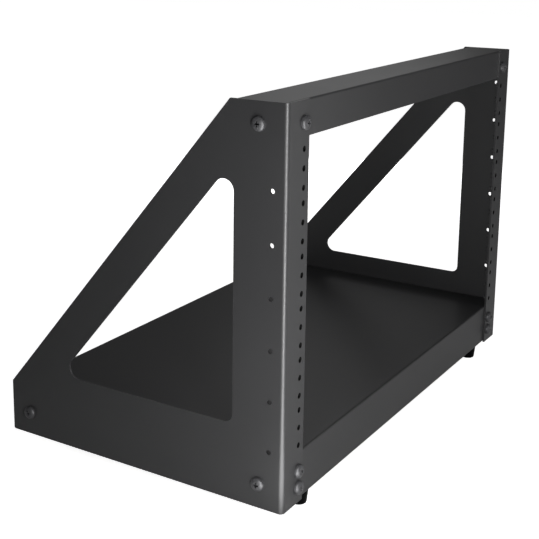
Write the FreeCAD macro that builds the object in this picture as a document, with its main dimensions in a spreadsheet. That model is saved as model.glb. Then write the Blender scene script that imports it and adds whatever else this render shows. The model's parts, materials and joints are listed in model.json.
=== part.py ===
import FreeCAD, Part
import os
import Sketcher

# Desktop open frame rack of six units in folded steel sheet: two side panels, a bar, a shelf,
# their screws and four feet. Frame: X to the right, Y to the back, Z up, in millimetres.
# The origin lies on the ground, in the middle of the width and half way between the front
# screw heads and the panels' rear edges.

SIZES = [
    # side panels
    ("rack_hole_span", 465.1, "across the two columns of rack holes"),
    ("rack_hole_inset", 25.85, "panel's outside face to its rack holes"),
    ("panel_depth", 302.0, "front face to rear edge"),
    ("panel_sheet", 2.0, "sheet of the side panels"),
    ("panel_bend_radius", 4.0, "outside radius of the panel's fold"),
    ("flange_width", 33.86, "front flange from the panel's outside face"),
    ("top_edge_depth", 54.05, "front face to the start of the slope"),
    ("rear_edge_height", 50.1, "bottom edge to the end of the slope"),
    ("rear_corner_radius", 2.0, "rounding of the rear bottom corner"),
    # window in each side panel
    ("window_front", 49.8, "front face to the window's front edge"),
    ("window_bottom", 69.8, "bottom edge to the window's bottom edge"),
    ("window_band", 34.5, "width of the sloping band behind the window"),
    ("window_front_radius", 8.0, "rounding of the window's right angle"),
    ("window_tip_radius", 10.0, "rounding of the window's two sharp corners"),
    # holes for equipment
    ("unit_height", 44.45, "height of one rack unit"),
    ("unit_count", 6, "rack units"),
    ("rack_hole_step", 15.875, "first to second and second to third hole"),
    ("rack_hole_radius", 2.55, "rack hole"),
    ("rack_hole_margin", 9.1, "bar's underside to the first rack hole"),
    ("rack_collar_radius", 3.2, "collar drawn backwards round a rack hole for its thread"),
    ("rack_collar_depth", 3.0, "length of that collar behind the sheet"),
    ("bay_play", 4.94, "clear height beyond the rack units"),
    ("side_hole_inset", 13.9, "front face to the column of side holes"),
    ("side_hole_radius", 2.2, "side hole"),
    # bar across the top and shelf across the bottom
    ("pan_sheet", 1.5, "sheet of bar and shelf"),
    ("pan_bend_radius", 1.8, "outside radius of their folds"),
    ("corner_notch", 3.4, "relief where two folds of the shelf meet"),
    ("bar_relief", 2.0, "relief at the rear corners of the bar's top plate"),
    ("bar_height", 30.5, "height of the top bar"),
    ("bar_depth", 47.8, "depth of the top bar"),
    ("bar_tab_gap", 0.6, "top of an end tab to the bar's top plate"),
    ("shelf_lift", 0.4, "panel's bottom edge to the shelf's underside"),
    ("shelf_height", 43.96, "height of the bottom shelf"),
    ("shelf_rear_gap", 0.5, "shelf's rear wall to the panels' rear edge"),
    ("return_width", 25.0, "return flange under the shelf"),
    # panel and flange screws
    ("screw_radius", 3.0, "shank"),
    ("screw_length", 8.0, "shank under the head"),
    ("screw_head_radius", 5.9, "pan head at its seat"),
    ("screw_head_height", 4.4, "pan head"),
    ("screw_clearance", 0.3, "hole radius over shank radius"),
    ("top_screw_inset", 26.6, "front face to a panel's top screw"),
    ("top_screw_drop", 18.3, "top edge to the top screws"),
    ("front_screw_inset", 23.8, "front face to a panel's lower front screw"),
    ("rear_screw_inset", 22.2, "rear edge to a panel's lower rear screw"),
    ("low_screw_height", 22.0, "bottom edge to a panel's lower screws"),
    ("flange_screw_height", 14.4, "bottom edge to the lowest flange screw"),
    ("flange_screw_step", 15.1, "between the two lower flange screws"),
    # feet
    ("foot_height", 14.9, "ground to the shelf's underside"),
    ("foot_top_radius", 9.0, "foot at the shelf"),
    ("foot_base_radius", 7.6, "foot above its bevelled edge"),
    ("foot_edge", 1.3, "height and width of the bevel at the ground"),
    ("foot_recess_radius", 4.2, "recess for the foot screw"),
    ("foot_recess_depth", 9.0, "recess for the foot screw"),
    ("foot_side_inset", 52.0, "panel's outside face to the foot's axis"),
    ("foot_end_inset", 13.3, "front face or rear edge to the foot's axis"),
    ("foot_screw_radius", 2.0, "shank"),
    ("foot_screw_length", 11.0, "shank under the head"),
    ("foot_screw_head_radius", 3.8, "head"),
    ("foot_screw_head_height", 2.4, "head"),
]

# Places that several pieces share, as expressions on the sheet. Panel places are measured
# from the front face and the bottom edge of the side panels.
HALF_WIDTH = "(Sizes.rack_hole_span / 2 + Sizes.rack_hole_inset)"
INNER_HALF = f"({HALF_WIDTH} - Sizes.panel_sheet)"
SHELF_TOP = "(Sizes.shelf_lift + Sizes.shelf_height)"
BAR_LOW = f"({SHELF_TOP} + Sizes.unit_count * Sizes.unit_height + Sizes.bay_play)"
PANEL_HEIGHT = f"({BAR_LOW} + Sizes.bar_height)"
FRONT_Y = "(Sizes.screw_head_height - Sizes.panel_depth) / 2"
PANEL_Z = "(Sizes.foot_height - Sizes.shelf_lift)"
COLLAR_END = "(Sizes.panel_sheet + Sizes.rack_collar_depth)"
FIRST_HOLE = f"({BAR_LOW} - Sizes.rack_hole_margin)"
THIRD_HOLE = f"({FIRST_HOLE} - 2 * Sizes.rack_hole_step)"
TOP_SCREW = f"({PANEL_HEIGHT} - Sizes.top_screw_drop)"
SCREW_HOLE = "(Sizes.screw_radius + Sizes.screw_clearance)"
FOOT_SCREW_HOLE = "(Sizes.foot_screw_radius + Sizes.screw_clearance)"
SHELF_DEPTH = "(Sizes.panel_depth - Sizes.panel_sheet - Sizes.shelf_rear_gap)"
FOOT_X = f"({HALF_WIDTH} - Sizes.foot_side_inset)"

# The slope's rise and run, its line RISE * y + RUN * z = SLOPE, and how far the parallel
# line along the window's long side lies inside it.
RISE = f"({PANEL_HEIGHT} - Sizes.rear_edge_height)"
RUN = "(Sizes.panel_depth - Sizes.top_edge_depth)"
SLOPE = f"({RISE} * Sizes.top_edge_depth + {RUN} * {PANEL_HEIGHT})"
BAND = f"(Sizes.window_band * sqrt({RISE} * {RISE} + {RUN} * {RUN}))"

# Screws through one side panel: distance from the front face, height over the bottom edge.
PANEL_SCREWS = {
    "top": ("Sizes.top_screw_inset", TOP_SCREW),
    "front": ("Sizes.front_screw_inset", "Sizes.low_screw_height"),
    "rear": ("(Sizes.panel_depth - Sizes.rear_screw_inset)", "Sizes.low_screw_height"),
}
# Screws through one flange, in line with the rack holes: height over the bottom edge.
FLANGE_SCREWS = {
    "top": TOP_SCREW,
    "middle": "(Sizes.flange_screw_height + Sizes.flange_screw_step)",
    "low": "Sizes.flange_screw_height",
}
# Foot axes: distance from the middle and from the front face.
FEET = {
    "front_left": (f"-{FOOT_X}", "Sizes.foot_end_inset"),
    "front_right": (FOOT_X, "Sizes.foot_end_inset"),
    "rear_left": (f"-{FOOT_X}", "(Sizes.panel_depth - Sizes.foot_end_inset)"),
    "rear_right": (FOOT_X, "(Sizes.panel_depth - Sizes.foot_end_inset)"),
}

# Corners of a pan head's bevelled crown, as shares of the head's radius and height.
CROWN = ((1.0, 0.42), (0.8, 0.78), (0.42, 1.0))

doc = FreeCAD.newDocument("OpenFrameRack")


def fill_sheet():
    """Put each driving dimension into the sheet under its alias, with its meaning beside it."""
    sheet = doc.addObject("Spreadsheet::Sheet", "Sizes")
    for row, (alias, value, note) in enumerate(SIZES, start=1):
        sheet.set(f"A{row}", str(value))
        sheet.setAlias(f"A{row}", alias)
        sheet.set(f"B{row}", note)
    doc.recompute()


def value_of(obj, expression):
    """Value of an expression on the sheet, in millimetres."""
    return float(obj.evalExpression(expression))


def near(value, target):
    """True where two lengths agree to a hundredth."""
    return abs(value - target) < 0.01


def new_body(label):
    """An empty body; its label names its file."""
    body = doc.addObject("PartDesign::Body", label)
    body.Label = label
    return body


def place_body(body, x, y, z, rotation=None):
    """Turn a body and bind its position to the sheet."""
    if rotation is not None:
        body.Placement = FreeCAD.Placement(FreeCAD.Vector(), rotation)
    body.setExpression("Placement.Base.x", x)
    body.setExpression("Placement.Base.y", y)
    body.setExpression("Placement.Base.z", z)


def new_sketch(body, name, role, height=None):
    """A sketch on one of the body's origin planes, or lifted off it by an expression."""
    sketch = body.newObject("Sketcher::SketchObject", f"{body.Label}_{name}")
    plane = next(item for item in body.Origin.OriginFeatures if item.Role == role)
    sketch.AttachmentSupport = [(plane, "")]
    sketch.MapMode = "FlatFace"
    if height is not None:
        sketch.setExpression("AttachmentOffset.Base.z", height)
    return sketch


def bind_point(sketch, geometry, point, label, across, up):
    """Tie a sketch point's distances from the sketch's origin to two expressions."""
    for kind, axis, expression in (("DistanceX", "across", across), ("DistanceY", "up", up)):
        value = value_of(sketch, expression)
        index = sketch.addConstraint(Sketcher.Constraint(kind, -1, 1, geometry, point, value))
        name = f"{label}_{axis}"
        sketch.renameConstraint(index, name)
        sketch.setExpression(f"Constraints.{name}", expression)


def draw_outline(sketch, corners):
    """Closed outline of straight lines; each corner is a pair of expressions."""
    points = [FreeCAD.Vector(value_of(sketch, a), value_of(sketch, b), 0) for a, b in corners]
    count = len(points)
    first = sketch.GeometryCount
    for i in range(count):
        sketch.addGeometry(Part.LineSegment(points[i], points[(i + 1) % count]), False)
    for i in range(count):
        following = first + (i + 1) % count
        sketch.addConstraint(Sketcher.Constraint("Coincident", first + i, 2, following, 1))
    for i, (across, up) in enumerate(corners):
        bind_point(sketch, first + i, 1, f"corner{first + i}", across, up)


def draw_rectangle(sketch, left, right, low, high):
    """Rectangle between four expressions."""
    draw_outline(sketch, [(left, low), (right, low), (right, high), (left, high)])


def draw_circle(sketch, across, up, radius):
    """Circle with its centre and radius tied to expressions."""
    centre = FreeCAD.Vector(value_of(sketch, across), value_of(sketch, up), 0)
    value = value_of(sketch, radius)
    circle = Part.Circle(centre, FreeCAD.Vector(0, 0, 1), value)
    geometry = sketch.addGeometry(circle, False)
    bind_point(sketch, geometry, 3, f"centre{geometry}", across, up)
    index = sketch.addConstraint(Sketcher.Constraint("Radius", geometry, value))
    name = f"radius{geometry}"
    sketch.renameConstraint(index, name)
    sketch.setExpression(f"Constraints.{name}", radius)


def pad(body, sketch, length, reverse=False, both_ways=False):
    """Pad a sketch by an expression's length."""
    feature = body.newObject("PartDesign::Pad", f"{sketch.Name}_pad")
    feature.Profile = sketch
    feature.Reversed = reverse
    if both_ways:
        feature.SideType = "Symmetric"
    feature.setExpression("Length", length)
    doc.recompute()
    return feature


def pocket(body, sketch, length, reverse=False, both_ways=False):
    """Cut a sketch by an expression's depth, and make sure that it cut something."""
    before = body.Shape.Volume
    feature = body.newObject("PartDesign::Pocket", f"{sketch.Name}_cut")
    feature.Profile = sketch
    feature.Reversed = reverse
    if both_ways:
        feature.SideType = "Symmetric"
    feature.setExpression("Length", length)
    doc.recompute()
    if body.Shape.Volume > before - 0.01:
        raise RuntimeError(f"{feature.Name} cut nothing")
    return feature


def repeat_down(body, feature, sketch):
    """Repeat a feature once for each rack unit, downwards."""
    pattern = body.newObject("PartDesign::LinearPattern", f"{sketch.Name}_units")
    pattern.Originals = [feature]
    pattern.Direction = (sketch, ["V_Axis"])
    pattern.Reversed = True
    pattern.Mode = "Spacing"
    pattern.setExpression("Offset", "Sizes.unit_height")
    pattern.setExpression("Occurrences", "Sizes.unit_count")
    body.Tip = pattern
    doc.recompute()
    return pattern


def round_edges(body, name, radius, wanted):
    """Fillet the straight edges for which wanted(middle, direction) is true."""
    base = body.Tip
    names = [f"Edge{number}" for number, edge in enumerate(base.Shape.Edges, start=1)
             if edge.Curve.TypeId == "Part::GeomLine"
             and wanted(edge.CenterOfMass, edge.Curve.Direction)]
    if not names:
        raise RuntimeError(f"{body.Label}: {name} found no edge")
    feature = body.newObject("PartDesign::Fillet", f"{body.Label}_{name}")
    feature.Base = (base, names)
    feature.setExpression("Radius", radius)
    doc.recompute()
    return feature


def revolve(body, corners):
    """Turn an outline of radius and height pairs round the body's Z axis."""
    sketch = new_sketch(body, "profile", "XZ_Plane")
    draw_outline(sketch, corners)
    feature = body.newObject("PartDesign::Revolution", f"{body.Label}_turn")
    feature.Profile = sketch
    feature.ReferenceAxis = (sketch, ["V_Axis"])
    feature.Angle = 360
    doc.recompute()


def fold_side_panel(label, side):
    """Web and front flange with their fold. side is -1 on the left and 1 on the right;
    local X is 0 at the outside face, local Y at the front face, local Z at the bottom."""
    body = new_body(label)
    left = side < 0
    inward = "" if left else "-"
    web = new_sketch(body, "web", "YZ_Plane")
    draw_outline(web, [
        ("0", "0"),
        ("Sizes.panel_depth", "0"),
        ("Sizes.panel_depth", "Sizes.rear_edge_height"),
        ("Sizes.top_edge_depth", PANEL_HEIGHT),
        ("0", PANEL_HEIGHT),
    ])
    pad(body, web, "Sizes.panel_sheet", reverse=not left)
    flange = new_sketch(body, "flange", "XZ_Plane")
    draw_rectangle(flange, "0", f"{inward}Sizes.flange_width", "0", PANEL_HEIGHT)
    pad(body, flange, "Sizes.panel_sheet", reverse=True)

    sheet = value_of(body, "Sizes.panel_sheet")
    depth = value_of(body, "Sizes.panel_depth")
    round_edges(body, "outer_fold", "Sizes.panel_bend_radius",
                lambda p, d: near(abs(d.z), 1) and near(p.x, 0) and near(p.y, 0))
    round_edges(body, "inner_fold", "Sizes.panel_bend_radius - Sizes.panel_sheet",
                lambda p, d: near(abs(d.z), 1) and near(p.x, -side * sheet) and near(p.y, sheet))
    round_edges(body, "rear_corner", "Sizes.rear_corner_radius",
                lambda p, d: near(abs(d.x), 1) and near(p.y, depth) and near(p.z, 0))
    return body


def cut_window(body, left):
    """Triangular window whose long side is parallel to the slope, with rounded corners."""
    top = f"(({SLOPE} - {BAND} - {RISE} * Sizes.window_front) / {RUN})"
    rear = f"(({SLOPE} - {BAND} - {RUN} * Sizes.window_bottom) / {RISE})"
    window = new_sketch(body, "window", "YZ_Plane")
    draw_outline(window, [
        ("Sizes.window_front", "Sizes.window_bottom"),
        (rear, "Sizes.window_bottom"),
        ("Sizes.window_front", top),
    ])
    pocket(body, window, "Sizes.panel_sheet", reverse=left)
    front_y = value_of(body, "Sizes.window_front")
    low_z = value_of(body, "Sizes.window_bottom")
    rear_y = value_of(body, rear)
    top_z = value_of(body, top)
    round_edges(body, "window_right_angle", "Sizes.window_front_radius",
                lambda p, d: near(abs(d.x), 1) and near(p.y, front_y) and near(p.z, low_z))
    round_edges(body, "window_tips", "Sizes.window_tip_radius",
                lambda p, d: near(abs(d.x), 1) and ((near(p.y, rear_y) and near(p.z, low_z))
                                                    or (near(p.y, front_y) and near(p.z, top_z))))


def make_side_panel(label, side, first_side_hole):
    """Folded side panel with its window, side holes, screw holes and the rack holes, each
    with a collar behind the flange that gives its thread enough turns."""
    left = side < 0
    hole_x = "Sizes.rack_hole_inset" if left else "-Sizes.rack_hole_inset"
    body = fold_side_panel(label, side)
    cut_window(body, left)

    heights = [f"({FIRST_HOLE} - {step} * Sizes.rack_hole_step)" for step in range(3)]
    collars = new_sketch(body, "rack_collars", "XZ_Plane")
    for height in heights:
        draw_circle(collars, hole_x, height, "Sizes.rack_collar_radius")
    unit_collars = pad(body, collars, COLLAR_END, reverse=True)
    repeat_down(body, unit_collars, collars)
    rack_holes = new_sketch(body, "rack_holes", "XZ_Plane")
    for height in heights:
        draw_circle(rack_holes, hole_x, height, "Sizes.rack_hole_radius")
    unit_holes = pocket(body, rack_holes, COLLAR_END)
    repeat_down(body, unit_holes, rack_holes)

    side_holes = new_sketch(body, "side_holes", "YZ_Plane")
    draw_circle(side_holes, "Sizes.side_hole_inset", first_side_hole, "Sizes.side_hole_radius")
    one_hole = pocket(body, side_holes, "Sizes.panel_sheet", reverse=left)
    repeat_down(body, one_hole, side_holes)

    web_screws = new_sketch(body, "web_screw_holes", "YZ_Plane")
    for across, up in PANEL_SCREWS.values():
        draw_circle(web_screws, across, up, SCREW_HOLE)
    pocket(body, web_screws, "Sizes.panel_sheet", reverse=left)
    flange_screws = new_sketch(body, "flange_screw_holes", "XZ_Plane")
    for up in FLANGE_SCREWS.values():
        draw_circle(flange_screws, hole_x, up, SCREW_HOLE)
    pocket(body, flange_screws, "Sizes.panel_sheet")

    place_body(body, f"-{HALF_WIDTH}" if left else HALF_WIDTH, FRONT_Y, PANEL_Z)
    return body


def cut_screw_holes(body, panel_holes, flange_holes, rise):
    """Clearance holes through both end walls and the front wall of a bar or shelf, whose
    underside is rise over the panels' bottom edge and whose front is behind the flanges."""
    ends = new_sketch(body, "end_holes", "YZ_Plane")
    for across, up in panel_holes:
        draw_circle(ends, f"({across} - Sizes.panel_sheet)", f"({up} - {rise})", SCREW_HOLE)
    pocket(body, ends, f"2 * {HALF_WIDTH}", both_ways=True)
    front = new_sketch(body, "front_holes", "XZ_Plane")
    for up in flange_holes:
        for sign in ("-", ""):
            draw_circle(front, f"{sign}Sizes.rack_hole_span / 2", f"({up} - {rise})", SCREW_HOLE)
    pocket(body, front, "Sizes.pan_sheet")


def make_top_bar():
    """Channel across the top, open below. Its end tabs are folded forwards from its rear lip,
    so that its top plate runs square from panel to panel."""
    body = new_body("top_bar")
    depth = "Sizes.bar_depth"
    height = "Sizes.bar_height"
    sheet = "Sizes.pan_sheet"
    notch = "Sizes.corner_notch"
    relief = "Sizes.bar_relief"
    clearance = "(Sizes.panel_bend_radius - Sizes.panel_sheet + Sizes.screw_clearance)"
    ends = ((f"-{INNER_HALF}", "+"), (INNER_HALF, "-"))

    channel = new_sketch(body, "channel", "YZ_Plane")
    draw_outline(channel, [
        ("0", "0"),
        (sheet, "0"),
        (sheet, f"({height} - {sheet})"),
        (f"({depth} - {sheet})", f"({height} - {sheet})"),
        (f"({depth} - {sheet})", "0"),
        (depth, "0"),
        (depth, height),
        ("0", height),
    ])
    pad(body, channel, f"2 * {INNER_HALF}", both_ways=True)
    top = value_of(body, height)
    wall = value_of(body, sheet)
    rear = value_of(body, depth)
    half = value_of(body, INNER_HALF)
    round_edges(body, "top_folds", "Sizes.pan_bend_radius",
                lambda p, d: near(abs(d.x), 1) and near(p.z, top))
    round_edges(body, "top_inner_folds", f"Sizes.pan_bend_radius - {sheet}",
                lambda p, d: near(abs(d.x), 1) and near(p.z, top - wall))

    tabs = new_sketch(body, "tabs", "XY_Plane")
    for end, way in ends:
        draw_rectangle(tabs, end, f"({end} {way} {sheet})", f"({sheet} + {notch})", depth)
    pad(body, tabs, f"{height} - {sheet} - Sizes.bar_tab_gap")
    front_corners = new_sketch(body, "front_corners", "XY_Plane")
    for end, way in ends:
        draw_rectangle(front_corners, end, f"({end} {way} {clearance})", "0", clearance)
    pocket(body, front_corners, height, reverse=True)
    rear_corners = new_sketch(body, "rear_corners", "XY_Plane", height=height)
    for end, way in ends:
        draw_rectangle(rear_corners, end, f"({end} {way} {relief})", f"({depth} - {relief})", depth)
    pocket(body, rear_corners, notch)
    round_edges(body, "tab_folds", "Sizes.pan_bend_radius",
                lambda p, d: near(abs(d.z), 1) and near(p.y, rear) and near(abs(p.x), half))
    round_edges(body, "tab_inner_folds", f"Sizes.pan_bend_radius - {sheet}",
                lambda p, d: near(abs(d.z), 1) and near(p.y, rear - wall)
                and near(abs(p.x), half - wall))

    cut_screw_holes(body, [PANEL_SCREWS["top"]], [FLANGE_SCREWS["top"]], BAR_LOW)
    place_body(body, "0", f"{FRONT_Y} + Sizes.panel_sheet", f"{PANEL_Z} + {BAR_LOW}")
    return body


def make_bottom_shelf():
    """Shelf with four walls folded down and two return flanges that carry the feet."""
    body = new_body("bottom_shelf")
    sheet = "Sizes.pan_sheet"
    notch = "Sizes.corner_notch"
    height = "Sizes.shelf_height"
    inner_end = f"({INNER_HALF} - {sheet})"
    notch_end = f"({INNER_HALF} - {notch})"

    block = new_sketch(body, "block", "XY_Plane")
    draw_rectangle(block, f"-{INNER_HALF}", INNER_HALF, "0", SHELF_DEPTH)
    pad(body, block, height)
    top = value_of(body, height)
    wall = value_of(body, sheet)
    rear = value_of(body, SHELF_DEPTH)
    round_edges(body, "top_folds", "Sizes.pan_bend_radius", lambda p, d: near(p.z, top))
    hollow = new_sketch(body, "hollow", "XY_Plane")
    draw_rectangle(hollow, f"-{inner_end}", inner_end, sheet, f"({SHELF_DEPTH} - {sheet})")
    pocket(body, hollow, f"{height} - {sheet}", reverse=True)
    round_edges(body, "top_inner_folds", f"Sizes.pan_bend_radius - {sheet}",
                lambda p, d: near(p.z, top - wall))

    returns = new_sketch(body, "returns", "XY_Plane")
    for low, high in (("0", "Sizes.return_width"),
                      (f"({SHELF_DEPTH} - Sizes.return_width)", SHELF_DEPTH)):
        draw_rectangle(returns, f"-{notch_end}", notch_end, low, high)
    pad(body, returns, sheet)
    corners = new_sketch(body, "corners", "XY_Plane")
    for near_x, far_x in ((f"-{INNER_HALF}", f"-{notch_end}"), (notch_end, INNER_HALF)):
        draw_rectangle(corners, near_x, far_x, "0", notch)
        draw_rectangle(corners, near_x, far_x, f"({SHELF_DEPTH} - {notch})", SHELF_DEPTH)
    pocket(body, corners, height, reverse=True)
    round_edges(body, "return_folds", "Sizes.pan_bend_radius",
                lambda p, d: near(abs(d.x), 1) and near(p.z, 0) and (near(p.y, 0) or near(p.y, rear)))
    round_edges(body, "return_inner_folds", f"Sizes.pan_bend_radius - {sheet}",
                lambda p, d: near(abs(d.x), 1) and near(p.z, wall)
                and (near(p.y, wall) or near(p.y, rear - wall)))

    cut_screw_holes(body, [PANEL_SCREWS["front"], PANEL_SCREWS["rear"]],
                    [FLANGE_SCREWS["middle"], FLANGE_SCREWS["low"]], "Sizes.shelf_lift")
    foot_holes = new_sketch(body, "foot_holes", "XY_Plane")
    for x, y in FEET.values():
        draw_circle(foot_holes, x, f"({y} - Sizes.panel_sheet)", FOOT_SCREW_HOLE)
    pocket(body, foot_holes, sheet, reverse=True)
    place_body(body, "0", f"{FRONT_Y} + Sizes.panel_sheet", "Sizes.foot_height")
    return body


def make_screw(label, x, y, z, rotation):
    """Pan head screw: its seat at 0, its shank along local -Z, its head above with a
    bevelled crown."""
    body = new_body(label)
    radius = "Sizes.screw_head_radius"
    height = "Sizes.screw_head_height"
    crown = [(f"{across} * {radius}", f"{up} * {height}") for across, up in CROWN]
    revolve(body, [
        ("0", "-Sizes.screw_length"),
        ("Sizes.screw_radius", "-Sizes.screw_length"),
        ("Sizes.screw_radius", "0"),
        (radius, "0"),
    ] + crown + [
        ("0", height),
    ])
    place_body(body, x, y, z, rotation)
    return body


def make_foot_screw(label, x, y):
    """Cheese head screw, head down, seated on the floor of a foot's recess."""
    body = new_body(label)
    height = "Sizes.foot_screw_head_height"
    revolve(body, [
        ("0", f"-{height}"),
        ("Sizes.foot_screw_head_radius", f"-{height}"),
        ("Sizes.foot_screw_head_radius", "0"),
        ("Sizes.foot_screw_radius", "0"),
        ("Sizes.foot_screw_radius", "Sizes.foot_screw_length"),
        ("0", "Sizes.foot_screw_length"),
    ])
    place_body(body, x, f"{FRONT_Y} + {y}", "Sizes.foot_recess_depth")
    return body


def make_foot(label, x, y):
    """Tapered round foot, wider at the shelf, with a recess for its screw."""
    body = new_body(label)
    base = "Sizes.foot_base_radius"
    edge = "Sizes.foot_edge"
    revolve(body, [
        ("Sizes.foot_recess_radius", "0"),
        (f"({base} - {edge})", "0"),
        (base, edge),
        ("Sizes.foot_top_radius", "Sizes.foot_height"),
        (FOOT_SCREW_HOLE, "Sizes.foot_height"),
        (FOOT_SCREW_HOLE, "Sizes.foot_recess_depth"),
        ("Sizes.foot_recess_radius", "Sizes.foot_recess_depth"),
    ])
    place_body(body, x, f"{FRONT_Y} + {y}", "0")
    return body


def facing(x, y, z):
    """Rotation that turns local Z into a direction."""
    return FreeCAD.Rotation(FreeCAD.Vector(0, 0, 1), FreeCAD.Vector(x, y, z))


def make_screws():
    """Three screws through each side panel and three through each flange."""
    bodies = []
    for hand, sign, side in (("left", "-", -1), ("right", "", 1)):
        for place, (across, up) in PANEL_SCREWS.items():
            bodies.append(make_screw(f"{hand}_panel_{place}_screw", f"{sign}{HALF_WIDTH}",
                                     f"{FRONT_Y} + {across}", f"{PANEL_Z} + {up}",
                                     facing(side, 0, 0)))
        for place, up in FLANGE_SCREWS.items():
            bodies.append(make_screw(f"{hand}_flange_{place}_screw",
                                     f"{sign}Sizes.rack_hole_span / 2", FRONT_Y,
                                     f"{PANEL_Z} + {up}", facing(0, -1, 0)))
    return bodies


def make_rack():
    """Every piece of the rack."""
    bodies = [
        make_side_panel("left_side_panel", -1, THIRD_HOLE),
        make_side_panel("right_side_panel", 1, FIRST_HOLE),
        make_top_bar(),
        make_bottom_shelf(),
    ]
    bodies += make_screws()
    for corner, (x, y) in FEET.items():
        bodies.append(make_foot(f"{corner}_foot", x, y))
        bodies.append(make_foot_screw(f"{corner}_foot_screw", x, y))
    return bodies


def check_and_write(bodies):
    """Stop at a failed feature or a bad shape, then write one file for each piece."""
    doc.recompute()
    for item in doc.Objects:
        if "Invalid" in item.State or "Error" in item.State:
            raise RuntimeError(f"{item.Label} failed: {item.State}")
    for body in bodies:
        if body.Shape.isNull() or not body.Shape.isValid() or len(body.Shape.Solids) != 1:
            raise RuntimeError(f"{body.Label} has a bad shape")
    os.makedirs("parts", exist_ok=True)
    for body in bodies:
        body.Shape.exportStep(f"parts/{body.Label}.step")
        print(f"{body.Label}: {body.Shape.Volume / 1000:.2f} cm3")


fill_sheet()
check_and_write(make_rack())
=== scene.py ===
"""Desktop open frame rack of six units, dressed for rendering.

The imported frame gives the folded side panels, bar and shelf. This file gives them their powder
coat, makes the threaded cross recess screws, the threads of the rack holes and the turned feet,
and sets up the floor, the lamps and the camera. Lengths are metres in the frame's axes: X to the
right, Y to the back, Z up.
"""

import json
import math

import bpy
import numpy as np
from bpy.props import FloatProperty, FloatVectorProperty, PointerProperty
from bpy.types import Operator, Panel, PropertyGroup
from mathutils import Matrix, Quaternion, Vector


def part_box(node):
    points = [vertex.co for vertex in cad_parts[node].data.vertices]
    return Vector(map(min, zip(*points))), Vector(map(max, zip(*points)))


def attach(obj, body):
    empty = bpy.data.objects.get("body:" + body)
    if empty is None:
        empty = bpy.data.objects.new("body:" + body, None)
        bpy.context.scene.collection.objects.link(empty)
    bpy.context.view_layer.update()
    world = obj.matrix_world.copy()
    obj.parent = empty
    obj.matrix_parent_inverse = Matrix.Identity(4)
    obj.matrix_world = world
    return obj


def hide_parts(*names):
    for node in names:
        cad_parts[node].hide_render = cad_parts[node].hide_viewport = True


bl_info = {
    "name": "Open frame rack",
    "version": (1, 0, 0),
    "blender": (4, 5, 0),
    "location": "3D View > Sidebar > Rack",
    "description": "Finishes, screws, threads, feet, floor, lamps and camera for a steel rack",
    "category": "Object",
}

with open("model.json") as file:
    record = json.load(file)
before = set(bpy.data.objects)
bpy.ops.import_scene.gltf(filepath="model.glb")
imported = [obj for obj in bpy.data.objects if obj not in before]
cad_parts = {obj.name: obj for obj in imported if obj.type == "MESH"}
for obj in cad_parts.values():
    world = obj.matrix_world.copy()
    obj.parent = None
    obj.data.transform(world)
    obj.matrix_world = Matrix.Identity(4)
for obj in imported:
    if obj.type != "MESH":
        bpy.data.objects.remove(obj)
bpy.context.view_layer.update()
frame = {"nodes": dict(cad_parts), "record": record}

MM = 0.001
COATED_NODES = ("left_side_panel", "right_side_panel", "top_bar")
SHELF_NODE = "bottom_shelf"

# Screws: node name, outward direction, and how far the cross is turned, in degrees.
PANEL_SCREWS = (
    ("left_panel_top_screw", (-1, 0, 0), 3),
    ("left_panel_front_screw", (-1, 0, 0), 2),
    ("left_panel_rear_screw", (-1, 0, 0), 12),
    ("right_panel_top_screw", (1, 0, 0), 20),
    ("right_panel_front_screw", (1, 0, 0), -8),
    ("right_panel_rear_screw", (1, 0, 0), 31),
    ("left_flange_top_screw", (0, -1, 0), 2),
    ("left_flange_middle_screw", (0, -1, 0), 40),
    ("left_flange_low_screw", (0, -1, 0), 52),
    ("right_flange_top_screw", (0, -1, 0), 5),
    ("right_flange_middle_screw", (0, -1, 0), 24),
    ("right_flange_low_screw", (0, -1, 0), -15),
)
FOOT_CORNERS = ("front_left", "front_right", "rear_left", "rear_right")

# Lamps: name, place, point that it faces, width and height of the panel, watts, whether it
# lights surfaces, and whether it shines in them, as a strip beside the lens does on a fold.
LAMPS = (
    ("left strip", (-0.569, -0.235, 0.22), (-0.25, -0.15, 0.22), (0.06, 0.4), 0.4, True, True),
    ("front left strip", (-0.503, -0.362, 0.2), (-0.25, -0.15, 0.2), (0.06, 0.4), 1.38, True, True),
    ("front right fill", (0.15, -0.843, 0.21), (-0.25, -0.15, 0.18), (0.4, 0.4), 2.3, True, False),
    ("right strip", (0.30, -0.65, 0.24), (-0.25, -0.15, 0.24), (0.3, 0.35), 0.42, True, True),
    ("low rear softbox", (0.987, 0.427, 0.86), (-0.1, -0.12, 0.36), (0.5, 0.5), 0.5, False, True),
    ("overhead lamp", (-0.13, -0.12, 0.60), (-0.13, -0.12, 0.36), (0.36, 0.1), 0.53, True, False),
    ("right side fill", (1.20, 0.55, 0.20), (0.25, 0.05, 0.15), (0.4, 0.3), 4.0, True, False),
    ("back fill", (0.70, 1.40, 0.22), (0.0, 0.15, 0.15), (0.7, 0.35), 8.0, True, False),
    ("fold strip", (-0.58, -0.45, 0.25), (-0.25, -0.15, 0.25), (0.19, 0.5), 1.7, False, True),
    ("table glare", (-0.63, -0.53, 0.004), (-0.629, -0.529, 1.0), (0.16, 1.0), 4.5, False, True),
)

# Rack units from the bar down to the shelf
UNIT_COUNT = 6

# Screws
SHANK_RADIUS = 3.0 * MM
FOOT_SHANK_RADIUS = 2.0 * MM
# Share of a foot screw's head that is its straight rim
FOOT_SCREW_RIM = 0.6
# Roundness of the crown: 2 is an ellipse, and more is fuller towards the rim
CROWN_POWER = 2.6
# First and last ring of the recess, as shares of its reach, and the angle in radians from the
# last one to the crown's next ring
RECESS_SPAN = (0.08, 1.16)
CROWN_STEP = 0.08
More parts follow.
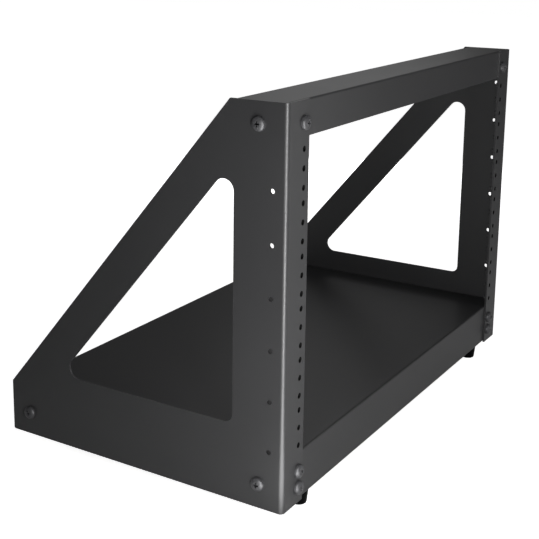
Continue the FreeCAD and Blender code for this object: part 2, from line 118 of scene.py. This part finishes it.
# Bevel under the head's rim, and the shank's first ring below the head
SEAT_EDGE = 0.12 * MM
SHANK_START = 0.15 * MM

# Pitches over which a thread fades in and out at its ends
THREAD_FADE_IN = 0.5
THREAD_FADE_OUT = 0.9
BORE_THREAD_FADE = 0.6

# Feet: edges of the top, the recess's mouth and the recess's floor
FOOT_TOP_EDGE = 0.5 * MM
FOOT_MOUTH_EDGE = 0.4 * MM
FOOT_FLOOR_EDGE = 0.3 * MM

# How finely the round pieces are cut: points to a turn, and rings or points along the profile
SCREW_POINTS = 72
BORE_POINTS = 28
FOOT_POINTS = 96
RECESS_RINGS = 22
CROWN_RINGS = 14
RINGS_PER_PITCH = 7
BORE_RINGS = 33
FOOT_SIDE_POINTS = 8
FOOT_EDGE_POINTS = 8
FOOT_MOUTH_POINTS = 5

# Angles between faces, in degrees, from which an edge is drawn sharp
SCREW_SHARP = 40
FOOT_SHARP = 50
THREAD_SHARP = 60

# What reflections see of the white surroundings: dark flags beside the lens hide the rest.
REFLECTED_SHARE = 0.06

# Floor: its side, and how many quads run along it
FLOOR_SIDE = 12.0
FLOOR_QUADS = 4
# White that the camera sees on the floor by itself: less round the rack, so that the shadow
# there stays soft and pale, and full further out, where the floor runs into the backdrop.
FLOOR_OWN_WHITE = 0.9
FLOOR_NEAR = 0.6
FLOOR_FAR = 1.6


def linear(hex_colour):
    """Linear RGBA of an sRGB hex colour such as 3a3b3c."""
    srgb = np.array([int(hex_colour[i:i + 2], 16) for i in (0, 2, 4)]) / 255
    rgb = np.where(srgb <= 0.04045, srgb / 12.92, ((srgb + 0.055) / 1.055) ** 2.4)
    return (*rgb.tolist(), 1.0)


# Settings shown in the sidebar


def length(name, description, millimetres):
    """A length in the sidebar, with its default in millimetres."""
    return FloatProperty(name=name, description=description, default=millimetres * MM,
                         min=0.0, unit="LENGTH", precision=5)


def share(name, description, default):
    """A plain number from 0 to 1 in the sidebar."""
    return FloatProperty(name=name, description=description, default=default,
                         min=0.0, max=1.0, subtype="FACTOR")


def colour(name, description, hex_colour):
    """A colour in the sidebar, from its sRGB hex value."""
    return FloatVectorProperty(name=name, description=description, subtype="COLOR", size=4,
                               min=0.0, max=1.0, default=linear(hex_colour))


class RackScrewSettings(PropertyGroup):
    """Shape of the screws."""

    head_height: length("Head height", "Seat to the top of the crown", 4.4)
    rim_share: share("Rim", "Share of the head's height that is its straight rim", 0.3)
    recess_reach: length("Recess reach", "Head's axis to the end of a recess arm", 2.5)
    recess_width: length("Recess width", "Width of a recess arm at the crown", 1.05)
    recess_depth: length("Recess depth", "Depth of the recess at the axis", 3.0)
    recess_wall: length("Recess wall", "Run of the recess's sloping wall", 0.16)
    recess_end: share("Recess end", "Share of an arm's reach over which its floor rises", 0.4)
    thread_pitch: length("Thread pitch", "Crest to crest along the shank", 1.0)
    thread_depth: length("Thread depth", "Crest to root", 0.5)


class RackBoreSettings(PropertyGroup):
    """Threads in the rack holes."""

    root_radius: length("Root radius", "Thread's groove, just inside the hole's wall", 2.54)
    thread_depth: length("Thread depth", "Crest to root, as deep as the hole leaves room", 0.3)
    wall_radius: length("Wall radius", "Back of the lining, hidden in the collar", 2.8)
    collar_end: length("Collar end", "Flange's front face to the end of its collar", 5.0)
    margin: length("Margin", "Lining's ends inside the front face and the collar's end", 0.1)


class RackFootSettings(PropertyGroup):
    """Shape of the feet."""

    recess_radius: length("Recess radius", "Recess for the foot screw", 4.2)
    recess_depth: length("Recess depth", "Ground to the floor of the recess", 9.0)
    bore_radius: length("Bore radius", "Hole for the foot screw's shank", 2.1)
    base_radius: length("Base radius", "Foot just above its rounded edge", 7.6)
    edge_radius: length("Edge radius", "Rounding at the ground", 1.6)
    screw_head_height: length("Screw head height", "Head of the foot screw", 2.4)


class RackFinishSettings(PropertyGroup):
    """Colours and surface grain."""

    coat: colour("Powder coat", "Charcoal powder coat on the panels and the bar", "343435")
    shelf: colour("Shelf coat", "Slightly deeper powder coat on the shelf", "2c2c2d")
    screw: colour("Screw", "Blackened steel of the screws", "4c4c4e")
    # Painted shade: the near black given to the screws' recesses and to the rack holes' threads
    recess: colour("Recess", "Oil left in the screws' recesses and the threads", "060606")
    rubber: colour("Rubber", "Moulded rubber of the feet", "040405")
    floor: colour("Floor", "Plain pale floor", "e8e8e8")
    coat_grain: length("Coat grain", "Wavelength of the powder coat's texture", 1.3)
    coat_grain_height: length("Coat grain height", "Height of that texture", 0.012)


class RackStageSettings(PropertyGroup):
    """Camera and light."""

    camera_place: FloatVectorProperty(name="Camera", description="Place of the camera",
                                      subtype="TRANSLATION", unit="LENGTH", size=3,
                                      default=(-0.98630, -0.55852, 0.48442))
    camera_aim: FloatVectorProperty(name="Aim", description="Point on the camera's axis",
                                    subtype="TRANSLATION", unit="LENGTH", size=3,
                                    default=(-0.03261, 0.06727, 0.24465))
    camera_roll: FloatProperty(name="Roll", description="Turn about the camera's axis",
                               default=math.radians(0.1888), subtype="ANGLE")
    camera_lens: FloatProperty(name="Lens", description="Focal length in millimetres",
                               default=73.161, min=10.0)
    camera_shift: FloatVectorProperty(name="Shift", description="Lens shift, in sensor widths",
                                      size=2, default=(0.10111, -0.18627))
    dome: FloatProperty(name="Dome", description="Strength of the even light from all round",
                        default=0.03, min=0.0)


def settings():
    """The rack's settings in this scene."""
    return bpy.context.scene.open_frame_rack


# Meshes


def full_turn(count):
    """Angles of points spaced evenly round one turn."""
    return np.linspace(0, 2 * math.pi, count + 1)[:-1]


def grid_faces(rows, columns, closed_rows):
    """Quads between neighbouring rows of a grid whose columns close into a ring.

    Corner (i, j) of the grid is vertex i * columns + j. Rows that run away from a pole, with
    columns counterclockwise about it, give faces that point outwards.
    """
    i = np.arange(rows if closed_rows else rows - 1)[:, None]
    j = np.arange(columns)[None, :]
    below = (i + 1) % rows
    right = (j + 1) % columns
    quads = (i * columns + j, below * columns + j, below * columns + right, i * columns + right)
    return np.stack([np.broadcast_to(q, (len(i), columns)) for q in quads], axis=-1).reshape(-1, 4)


def pole_faces(row_start, columns, pole, outwards):
    """Triangles between one ring of the grid and the single point that closes it."""
    j = np.arange(columns)
    here = row_start + j
    there = row_start + (j + 1) % columns
    middle = np.full(columns, pole)
    order = (middle, here, there) if outwards else (middle, there, here)
    return np.stack(order, axis=-1)


def new_piece(name, points, faces, material, replaced, sharp_degrees):
    """Mesh object from its points and faces, riding on the root body. Where replaced names a
    CAD node, the piece stands in its place."""
    mesh = bpy.data.meshes.new(name)
    mesh.from_pydata(points.tolist(), [], [f for group in faces for f in group.tolist()])
    mesh.polygons.foreach_set("use_smooth", np.ones(len(mesh.polygons), dtype=bool))
    mesh.set_sharp_from_angle(angle=math.radians(sharp_degrees))
    mesh.materials.append(material)
    mesh.validate()
    piece = bpy.data.objects.new(name, mesh)
    bpy.context.scene.collection.objects.link(piece)
    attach(piece, "root")
    if replaced:
        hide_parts(replaced)
    return piece


def axes_about(outward, turn_degrees):
    """Two directions across an outward direction, turned about it, and that direction."""
    out = np.array(outward, float)
    up = np.array((0.0, 0.0, 1.0)) if abs(out[2]) < 0.5 else np.array((0.0, 1.0, 0.0))
    across = np.cross(up, out)
    turn = math.radians(turn_degrees)
    first = math.cos(turn) * across + math.sin(turn) * up
    return first, np.cross(out, first), out


def screw_points(head_radius, head_height, shank_radius, shank_length, rim_share, sizes):
    """Rings of a cross recess screw about its own axis, seat at 0 and crown above, and the share of
    the recess's depth that each point lies below the crown, which sets how dark the recess is
    painted as shade.

    Crown: height = rim + (head - rim) * sqrt(1 - (r / R) ** power), less the recess.
    Recess: depth = D * smaller of (wall fade across the arm, slope along the arm), and the
    deeper of the two arms holds.
    Shank: radius = core + thread depth * triangle wave of (height / pitch + angle / turn).
    """
    turns = full_turn(SCREW_POINTS)
    rim = rim_share * head_height
    inner = np.linspace(*RECESS_SPAN, RECESS_RINGS) * sizes.recess_reach
    outer = head_radius * np.sin(np.linspace(math.asin(inner[-1] / head_radius) + CROWN_STEP,
                                             math.pi / 2, CROWN_RINGS))
    r = np.concatenate([inner, outer])
    dome = np.sqrt(np.clip(1 - (r / head_radius) ** CROWN_POWER, 0, 1))
    crown = rim + (head_height - rim) * dome
    x = r[:, None] * np.cos(turns)
    y = r[:, None] * np.sin(turns)

    def arm(along, across):
        wall = (sizes.recess_width / 2 - np.abs(across)) / sizes.recess_wall + 0.5
        slope = (sizes.recess_reach - np.abs(along)) / (sizes.recess_end * sizes.recess_reach)
        return np.minimum(np.clip(wall, 0, 1), np.clip(slope, 0, 1))

    sunk = np.maximum(arm(x, y), arm(y, x))
    head = np.stack([x, y, crown[:, None] - sizes.recess_depth * sunk], axis=-1)

    seat = np.array([(head_radius, SEAT_EDGE), (head_radius - SEAT_EDGE, 0.0),
                     (shank_radius, 0.0)])
    below = np.stack([seat[:, :1] * np.cos(turns), seat[:, :1] * np.sin(turns),
                      np.repeat(seat[:, 1:], len(turns), axis=1)], axis=-1)

    shank_rings = int(shank_length / sizes.thread_pitch * RINGS_PER_PITCH)
    z = -np.linspace(SHANK_START, shank_length, shank_rings)
    phase = z[:, None] / sizes.thread_pitch + turns / (2 * math.pi)
    wave = 1 - np.abs(2 * (phase % 1) - 1)
    start = np.clip(-z / (THREAD_FADE_IN * sizes.thread_pitch), 0, 1)[:, None]
    tip = np.clip((shank_length + z) / (THREAD_FADE_OUT * sizes.thread_pitch), 0, 1)[:, None]
    radius = shank_radius - sizes.thread_depth * (1 - wave * start * tip)
    radius = radius - 0.5 * sizes.thread_depth * (1 - tip)
    shank = np.stack([radius * np.cos(turns), radius * np.sin(turns),
                      np.broadcast_to(z[:, None], radius.shape)], axis=-1)
    rings = np.concatenate([head, below, shank])
    depth = np.zeros(rings.shape[:2])
    depth[:len(sunk)] = sunk
    return rings, depth


def make_screw(name, seat, outward, turn, head_radius, head_height, shank_radius, rim_share,
               sizes, material):
    """One screw in place of its CAD node: seat is the middle of the head's underside."""
    low, high = (np.array(corner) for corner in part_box(name))
    first, second, out = axes_about(outward, turn)
    extent = abs(out) @ (high - low)
    rings, depth = screw_points(head_radius, head_height, shank_radius,
                                extent - head_height, rim_share, sizes)
    rows, columns = rings.shape[:2]
    top = (0, 0, head_height - sizes.recess_depth)
    bottom = (0, 0, rings[-1, 0, 2])
    local = np.concatenate([rings.reshape(-1, 3), [top, bottom]])
    points = seat + local @ np.stack([first, second, out])
    faces = [grid_faces(rows, columns, False),
             pole_faces(0, columns, rows * columns, True),
             pole_faces((rows - 1) * columns, columns, rows * columns + 1, False)]
    piece = new_piece(name + "_cross_recess", points, faces, material, name,
                      SCREW_SHARP)
    # The recess attribute holds painted shade: the screw's material darkens the recess by it, the
    # more the deeper a point lies.
    recess = piece.data.attributes.new("recess", "FLOAT", "POINT")
    recess.data.foreach_set("value", np.append(depth.ravel(), (1.0, 0.0)))


def rack_hole_places():
    """Middle of each rack hole at the flanges' front face: three to a unit, from the record's
    first unit down to its last."""
    mounts = {mount["name"]: mount for mount in frame["record"]["mounts"]}
    first, last = mounts["first_unit_holes"], mounts["last_unit_holes"]
    side = first["dims"]["spacing_x_mm"] / 2 * MM
    step = first["dims"]["spacing_y_mm"] / 2 * MM
    middles = np.linspace(first["pos_m"][2], last["pos_m"][2], UNIT_COUNT)
    heights = (middles[:, None] + np.array((-step, 0.0, step))).ravel()
    x, z = np.meshgrid((-side, side), heights)
    return np.stack([x, np.full_like(x, first["pos_m"][1]), z], axis=-1).reshape(-1, 3)


def thread_rings(bore, pitch):
    """Rings of the threaded lining of one rack hole about its own axis, from the flange's face
    inwards.

    Thread: radius = root - thread depth * triangle wave of (distance / pitch + angle / turn),
    which fades in and out over the end turns. Two more rings behind it, hidden in the collar,
    close the lining. The angle runs clockwise, so that the thread's faces point to the axis.
    """
    turns = -full_turn(BORE_POINTS)
    along = np.linspace(bore.margin, bore.collar_end - bore.margin, BORE_RINGS)
    wave = 1 - np.abs(2 * ((along[:, None] / pitch + turns / (2 * math.pi)) % 1) - 1)
    from_end = np.minimum(along, bore.collar_end - along)
    fade = np.clip(from_end / (BORE_THREAD_FADE * pitch), 0, 1)
    thread = bore.root_radius - bore.thread_depth * wave * fade[:, None]
    radius = np.concatenate([thread, np.full((2, len(turns)), bore.wall_radius)])
    reach = np.append(along, (along[-1], along[0]))[:, None]
    return np.stack([radius * np.cos(turns), np.broadcast_to(reach, radius.shape),
                     radius * np.sin(turns)], axis=-1)


def make_threads(bore, pitch, material):
    """The threads of all rack holes, as one joined piece."""
    rings = thread_rings(bore, pitch)
    rows, columns = rings.shape[:2]
    places = rack_hole_places()
    points = (places[:, None, None] + rings).reshape(-1, 3)
    starts = np.arange(len(places)) * rows * columns
    faces = (starts[:, None, None] + grid_faces(rows, columns, True)).reshape(-1, 4)
    new_piece("rack_hole_threads", points, [faces], material, None, THREAD_SHARP)


def foot_profile(height, top_radius, sizes):
    """Closed outline of a foot as radius and height pairs, from the bore up and round."""
    base, edge = sizes.base_radius, sizes.edge_radius
    taper = np.linspace(0, 1, FOOT_SIDE_POINTS)[:, None]
    side = np.array([top_radius, height - FOOT_TOP_EDGE]) * (1 - taper)
    side = side + np.array([base, edge]) * taper
    sweep = np.linspace(0, math.pi / 2, FOOT_EDGE_POINTS)[1:]
    outer = np.stack([base - edge + edge * np.cos(sweep), edge - edge * np.sin(sweep)], axis=1)
    lip = FOOT_MOUTH_EDGE
    sweep = np.linspace(math.pi / 2, math.pi, FOOT_MOUTH_POINTS)
    inner = np.stack([sizes.recess_radius + lip + lip * np.cos(sweep),
                      lip - lip * np.sin(sweep)], axis=1)
    return np.concatenate([
        [(sizes.bore_radius, sizes.recess_depth), (sizes.bore_radius, height),
         (top_radius - FOOT_TOP_EDGE, height)],
        side, outer, inner,
        [(sizes.recess_radius, sizes.recess_depth - FOOT_FLOOR_EDGE),
         (sizes.recess_radius - FOOT_FLOOR_EDGE, sizes.recess_depth)],
    ])


# Materials


def add_node(tree, kind, attributes=None, values=None, links=None):
    """Add a node with its attributes, its socket values and links from other nodes' sockets."""
    node = tree.nodes.new(kind)
    for key, value in (attributes or {}).items():
        setattr(node, key, value)
    for key, value in (values or {}).items():
        node.inputs[key].default_value = value
    for key, source in (links or {}).items():
        tree.links.new(source, node.inputs[key])
    return node


def new_material(name):
    """An empty material, its node tree and its object coordinates."""
    material = bpy.data.materials.new(name)
    material.use_nodes = True
    tree = material.node_tree
    tree.nodes.clear()
    place = add_node(tree, "ShaderNodeTexCoord").outputs["Object"]
    return material, tree, place


def finish_material(tree, shader):
    """Send a shader to the material's output."""
    add_node(tree, "ShaderNodeOutputMaterial", links={"Surface": shader})


def shaded(tint, factor):
    """A tint made darker or lighter by a factor, still opaque."""
    return [factor * v for v in tint[:3]] + [1.0]


def powder_coat(name, finish, tint):
    """Satin polyester powder coat on steel, sprayed and baked: a dark skin with a fine dimpled
    texture that breaks up highlights, and slight cloudiness where the coat is thicker."""
    material, tree, place = new_material(name)
    # 120 mm clouds of film thickness
    cloud = add_node(tree, "ShaderNodeTexNoise", values={"Scale": 1 / 0.12, "Detail": 2.0},
                     links={"Vector": place}).outputs["Fac"]
    dark = shaded(tint, 0.93)
    light = shaded(tint, 1.07)
    base = add_node(tree, "ShaderNodeMix", {"data_type": "RGBA"}, {"A": dark, "B": light},
                    {"Factor": cloud}).outputs["Result"]
    rough = add_node(tree, "ShaderNodeMapRange", values={"To Min": 0.36, "To Max": 0.42},
                     links={"Value": cloud}).outputs["Result"]
    # dimples of the baked powder
    dimple = add_node(tree, "ShaderNodeTexNoise",
                      values={"Scale": 1 / finish.coat_grain, "Detail": 1.0},
                      links={"Vector": place}).outputs["Fac"]
    bump = add_node(tree, "ShaderNodeBump",
                    values={"Strength": 1.0, "Distance": finish.coat_grain_height},
                    links={"Height": dimple}).outputs["Normal"]
    shader = add_node(tree, "ShaderNodeBsdfPrincipled", values={"IOR": 1.5},
                      links={"Base Color": base, "Roughness": rough, "Normal": bump})
    finish_material(tree, shader.outputs["BSDF"])
    return material


def blackened_steel(finish):
    """Pressed steel screw with a black zinc finish: dark metal with a soft sheen and faint mottling
    from the bath. Its recess is painted near black as shade, darker the deeper it lies."""
    material, tree, place = new_material("black zinc plated steel")
    # 0.8 mm mottling
    mottle = add_node(tree, "ShaderNodeTexNoise", values={"Scale": 1 / 0.0008, "Detail": 2.0},
                      links={"Vector": place}).outputs["Fac"]
    dark = shaded(finish.screw, 0.85)
    light = shaded(finish.screw, 1.15)
    plated = add_node(tree, "ShaderNodeMix", {"data_type": "RGBA"}, {"A": dark, "B": light},
                      {"Factor": mottle}).outputs["Result"]
    # Painted shade: the recess attribute blends the colour towards near black in the recess
    recess = add_node(tree, "ShaderNodeAttribute", {"attribute_name": "recess"}).outputs["Fac"]
    base = add_node(tree, "ShaderNodeMix", {"data_type": "RGBA"}, {"B": tuple(finish.recess)},
                    {"Factor": recess, "A": plated}).outputs["Result"]
    rough = add_node(tree, "ShaderNodeMapRange", values={"To Min": 0.4, "To Max": 0.5},
                     links={"Value": mottle}).outputs["Result"]
    shader = add_node(tree, "ShaderNodeBsdfPrincipled", values={"Metallic": 0.3},
                      links={"Base Color": base, "Roughness": rough})
    finish_material(tree, shader.outputs["BSDF"])
    return material


def shade_painted_thread(finish):
    """Tapped steel thread, painted nearly black as the shade inside the rack holes, with little
    sheen."""
    material, tree, place = new_material("tapped steel in painted shade")
    # 0.8 mm patches of random tone in the painted shade
    patch = add_node(tree, "ShaderNodeTexNoise", values={"Scale": 1 / 0.0008, "Detail": 1.0},
                     links={"Vector": place}).outputs["Fac"]
    dark = shaded(finish.recess, 0.7)
    light = shaded(finish.recess, 1.3)
    base = add_node(tree, "ShaderNodeMix", {"data_type": "RGBA"}, {"A": dark, "B": light},
                    {"Factor": patch}).outputs["Result"]
    rough = add_node(tree, "ShaderNodeMapRange", values={"To Min": 0.45, "To Max": 0.6},
                     links={"Value": patch}).outputs["Result"]
    shader = add_node(tree, "ShaderNodeBsdfPrincipled", values={"Specular IOR Level": 0.05},
                      links={"Base Color": base, "Roughness": rough})
    finish_material(tree, shader.outputs["BSDF"])
    return material


def moulded_rubber(finish):
    """Moulded black rubber from a polished mould: deep black. Its shine is kept faint, because
    a glossier rubber turned grey all over under these lamps."""
    material, tree, place = new_material("moulded black rubber")
    # 2 mm flow marks
    flow = add_node(tree, "ShaderNodeTexNoise", values={"Scale": 1 / 0.002, "Detail": 1.0},
                    links={"Vector": place}).outputs["Fac"]
    dark = shaded(finish.rubber, 0.8)
    base = add_node(tree, "ShaderNodeMix", {"data_type": "RGBA"},
                    {"A": dark, "B": tuple(finish.rubber)},
                    {"Factor": flow}).outputs["Result"]
    rough = add_node(tree, "ShaderNodeMapRange", values={"To Min": 0.3, "To Max": 0.4},
                     links={"Value": flow}).outputs["Result"]
    shader = add_node(tree, "ShaderNodeBsdfPrincipled",
                      values={"IOR": 1.52, "Specular IOR Level": 0.06},
                      links={"Base Color": base, "Roughness": rough})
    finish_material(tree, shader.outputs["BSDF"])
    return material


def seen_directly(tree):
    """1 for camera rays, the reflected share for glossy and transmission rays, 0 for the rest."""
    rays = add_node(tree, "ShaderNodeLightPath").outputs
    clear = add_node(tree, "ShaderNodeMath", {"operation": "MAXIMUM"},
                     links={0: rays["Is Glossy Ray"], 1: rays["Is Transmission Ray"]})
    dimmed = add_node(tree, "ShaderNodeMath", {"operation": "MULTIPLY"},
                      {1: REFLECTED_SHARE}, {0: clear.outputs["Value"]})
    return add_node(tree, "ShaderNodeMath", {"operation": "MAXIMUM"},
                    links={0: rays["Is Camera Ray"], 1: dimmed.outputs["Value"]}).outputs["Value"]


def pale_floor(finish):
    """Plain matt floor that the camera sees as white paper, with the rack's shadow kept: part
    of its light is its own, and the rest is what the lamps give it."""
    material, tree, place = new_material("matt white studio floor")
    # 300 mm clouds, a hundredth of the colour
    cloud = add_node(tree, "ShaderNodeTexNoise", values={"Scale": 1 / 0.3},
                     links={"Vector": place}).outputs["Fac"]
    dim = shaded(finish.floor, 0.99)
    base = add_node(tree, "ShaderNodeMix", {"data_type": "RGBA"},
                    {"A": dim, "B": tuple(finish.floor)}, {"Factor": cloud}).outputs["Result"]
    matt = add_node(tree, "ShaderNodeBsdfDiffuse", links={"Color": base}).outputs["BSDF"]
    away = add_node(tree, "ShaderNodeVectorMath", {"operation": "LENGTH"}, links={0: place})
    own = add_node(tree, "ShaderNodeMapRange", {"interpolation_type": "SMOOTHSTEP"},
                   {"From Min": FLOOR_NEAR, "From Max": FLOOR_FAR,
                    "To Min": FLOOR_OWN_WHITE, "To Max": 1.0}, {"Value": away.outputs["Value"]})
    strength = add_node(tree, "ShaderNodeMath", {"operation": "MULTIPLY"},
                        links={0: own.outputs["Result"], 1: seen_directly(tree)})
    white = add_node(tree, "ShaderNodeEmission", links={"Strength": strength.outputs["Value"]})
    shader = add_node(tree, "ShaderNodeAddShader", links={0: matt, 1: white.outputs["Emission"]})
    finish_material(tree, shader.outputs["Shader"])
    return material


# Stage


def make_floor(material):
    """Square floor at height 0, a grid of quads."""
    columns = FLOOR_QUADS + 1
    side = np.linspace(-FLOOR_SIDE / 2, FLOOR_SIDE / 2, columns)
    y, x = np.meshgrid(side, side, indexing="ij")
    points = np.stack([x, y, np.zeros_like(x)], axis=-1).reshape(-1, 3)
    i, j = np.meshgrid(np.arange(FLOOR_QUADS), np.arange(FLOOR_QUADS), indexing="ij")
    corner = (i * columns + j).ravel()
    faces = np.stack([corner, corner + 1, corner + columns + 1, corner + columns], axis=-1)
    mesh = bpy.data.meshes.new("floor")
    mesh.from_pydata(points.tolist(), [], faces.tolist())
    mesh.materials.append(material)
    floor = bpy.data.objects.new("floor", mesh)
    bpy.context.scene.collection.objects.link(floor)


def make_world(stage):
    """World that the camera sees as white, that reflections see dimmed, and that lights the
    rack evenly."""
    world = bpy.data.worlds.new("plain studio")
    bpy.context.scene.world = world
    world.use_nodes = True
    tree = world.node_tree
    tree.nodes.clear()
    strength = add_node(tree, "ShaderNodeMix", {"data_type": "FLOAT"},
                        {"A": stage.dome, "B": 1.0}, {"Factor": seen_directly(tree)})
    sky = add_node(tree, "ShaderNodeBackground", values={"Color": (1.0, 1.0, 1.0, 1.0)},
                   links={"Strength": strength.outputs["Result"]})
    add_node(tree, "ShaderNodeOutputWorld", links={"Surface": sky.outputs["Background"]})


def facing(place, aim):
    """Rotation of a lamp or camera at one point that looks at another."""
    return (Vector(aim) - Vector(place)).to_track_quat("-Z", "Y")


def make_lamp(name, place, aim, size, watts, lights, shines):
    """Rectangular soft lamp, which the camera doesn't see."""
    data = bpy.data.lights.new(name, "AREA")
    data.shape = "RECTANGLE"
    data.size, data.size_y = size
    data.energy = watts
    lamp = bpy.data.objects.new(name, data)
    lamp.rotation_mode = "QUATERNION"
    lamp.location = place
    lamp.rotation_quaternion = facing(place, aim)
    lamp.visible_camera = False
    lamp.visible_diffuse = lights
    lamp.visible_glossy = shines
    bpy.context.scene.collection.objects.link(lamp)


def make_camera(stage):
    """Camera at the photograph's view, with no depth of field."""
    data = bpy.data.cameras.new("camera")
    data.sensor_width = 36.0
    data.sensor_fit = "HORIZONTAL"
    data.lens = stage.camera_lens
    data.shift_x, data.shift_y = stage.camera_shift
    camera = bpy.data.objects.new("camera", data)
    camera.rotation_mode = "QUATERNION"
    camera.location = stage.camera_place
    roll = Quaternion((0.0, 0.0, 1.0), stage.camera_roll)
    camera.rotation_quaternion = facing(stage.camera_place, stage.camera_aim) @ roll
    bpy.context.scene.collection.objects.link(camera)
    bpy.context.scene.camera = camera


# Operators and panel


class RACK_OT_coat_sheet(Operator):
    """Give the folded panels, bar and shelf their powder coat"""

    bl_idname = "rack.coat_sheet"
    bl_label = "Coat sheet"

    def execute(self, context):
        finish = settings().finish
        coat = powder_coat("charcoal satin powder coat", finish, finish.coat)
        deeper = powder_coat("deep charcoal satin powder coat", finish, finish.shelf)
        coats = dict.fromkeys(COATED_NODES, coat)
        coats[SHELF_NODE] = deeper
        for name, material in coats.items():
            for slot in frame["nodes"][name].material_slots:
                slot.material = material
        return {"FINISHED"}


class RACK_OT_make_screws(Operator):
    """Make the cross recess screws of the panels and flanges"""

    bl_idname = "rack.make_screws"
    bl_label = "Make screws"

    def execute(self, context):
        sizes = settings().screw
        steel = blackened_steel(settings().finish)
        left_low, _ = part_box("left_side_panel")
        _, right_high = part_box("right_side_panel")
        for name, outward, turn in PANEL_SCREWS:
            low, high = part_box(name)
            seat = np.array((low + high) / 2)
            if outward[0] < 0:
                seat[0] = left_low.x
            elif outward[0] > 0:
                seat[0] = right_high.x
            else:
                seat[1] = left_low.y
            across = np.sort(high - low)
            make_screw(name, seat, outward, turn, across[-1] / 2, sizes.head_height,
                       SHANK_RADIUS, sizes.rim_share, sizes, steel)
        return {"FINISHED"}


class RACK_OT_tap_holes(Operator):
    """Cut the threads of the rack holes"""

    bl_idname = "rack.tap_holes"
    bl_label = "Tap holes"

    def execute(self, context):
        thread_shade = shade_painted_thread(settings().finish)
        make_threads(settings().bore, settings().screw.thread_pitch, thread_shade)
        return {"FINISHED"}


class RACK_OT_make_feet(Operator):
    """Make the four turned feet and the screws in their recesses"""

    bl_idname = "rack.make_feet"
    bl_label = "Make feet"

    def execute(self, context):
        sizes = settings().foot
        screw = settings().screw
        rubber = moulded_rubber(settings().finish)
        steel = blackened_steel(settings().finish)
        turns = full_turn(FOOT_POINTS)
        for corner in FOOT_CORNERS:
            name = corner + "_foot"
            low, high = (np.array(point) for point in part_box(name))
            middle = (low + high) / 2
            outline = foot_profile(high[2], (high[0] - low[0]) / 2, sizes)
            points = np.stack([outline[:, :1] * np.cos(turns), outline[:, :1] * np.sin(turns),
                               np.repeat(outline[:, 1:], len(turns), axis=1)], axis=-1)
            points = points.reshape(-1, 3) + (middle[0], middle[1], 0.0)
            faces = [grid_faces(len(outline), len(turns), True)]
            new_piece(name + "_turned", points, faces, rubber, name, FOOT_SHARP)
            low, high = (np.array(point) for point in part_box(name + "_screw"))
            seat = np.array((middle[0], middle[1], low[2] + sizes.screw_head_height))
            make_screw(name + "_screw", seat, (0, 0, -1), 0, (high[0] - low[0]) / 2,
                       sizes.screw_head_height, FOOT_SHANK_RADIUS, FOOT_SCREW_RIM, screw, steel)
        return {"FINISHED"}


class RACK_OT_make_stage(Operator):
    """Make the floor, the world, the lamps and the camera"""

    bl_idname = "rack.make_stage"
    bl_label = "Make stage"

    def execute(self, context):
        stage = settings().stage
        make_floor(pale_floor(settings().finish))
        make_world(stage)
        for lamp in LAMPS:
            make_lamp(*lamp)
        make_camera(stage)
        bpy.context.scene.view_settings.view_transform = "Standard"
        return {"FINISHED"}


class RackSettings(PropertyGroup):
    """All settings of the rack's scene."""

    screw: PointerProperty(type=RackScrewSettings)
    bore: PointerProperty(type=RackBoreSettings)
    foot: PointerProperty(type=RackFootSettings)
    finish: PointerProperty(type=RackFinishSettings)
    stage: PointerProperty(type=RackStageSettings)


OPERATORS = (RACK_OT_coat_sheet, RACK_OT_make_screws, RACK_OT_tap_holes, RACK_OT_make_feet,
             RACK_OT_make_stage)


class RACK_PT_panel(Panel):
    """Lists the rack's settings and the operators that make its pieces"""

    bl_idname = "RACK_PT_panel"
    bl_label = "Open frame rack"
    bl_space_type = "VIEW_3D"
    bl_region_type = "UI"
    bl_category = "Rack"

    def draw(self, context):
        rack = context.scene.open_frame_rack
        for group in (rack.screw, rack.bore, rack.foot, rack.finish, rack.stage):
            box = self.layout.box()
            for key in group.__annotations__:
                box.prop(group, key)
        for operator in OPERATORS:
            self.layout.operator(operator.bl_idname)


CLASSES = (RackScrewSettings, RackBoreSettings, RackFootSettings, RackFinishSettings,
           RackStageSettings, RackSettings, *OPERATORS, RACK_PT_panel)


def register():
    """Register the classes and put the settings on the scene."""
    for item in CLASSES:
        bpy.utils.register_class(item)
    bpy.types.Scene.open_frame_rack = PointerProperty(type=RackSettings)


def unregister():
    """Take the settings and the classes away again."""
    del bpy.types.Scene.open_frame_rack
    for item in reversed(CLASSES):
        bpy.utils.unregister_class(item)


def main():
    """Make every piece and the stage."""
    register()
    bpy.ops.rack.coat_sheet()
    bpy.ops.rack.make_screws()
    bpy.ops.rack.tap_holes()
    bpy.ops.rack.make_feet()
    bpy.ops.rack.make_stage()


if __name__ == "__main__":
    main()
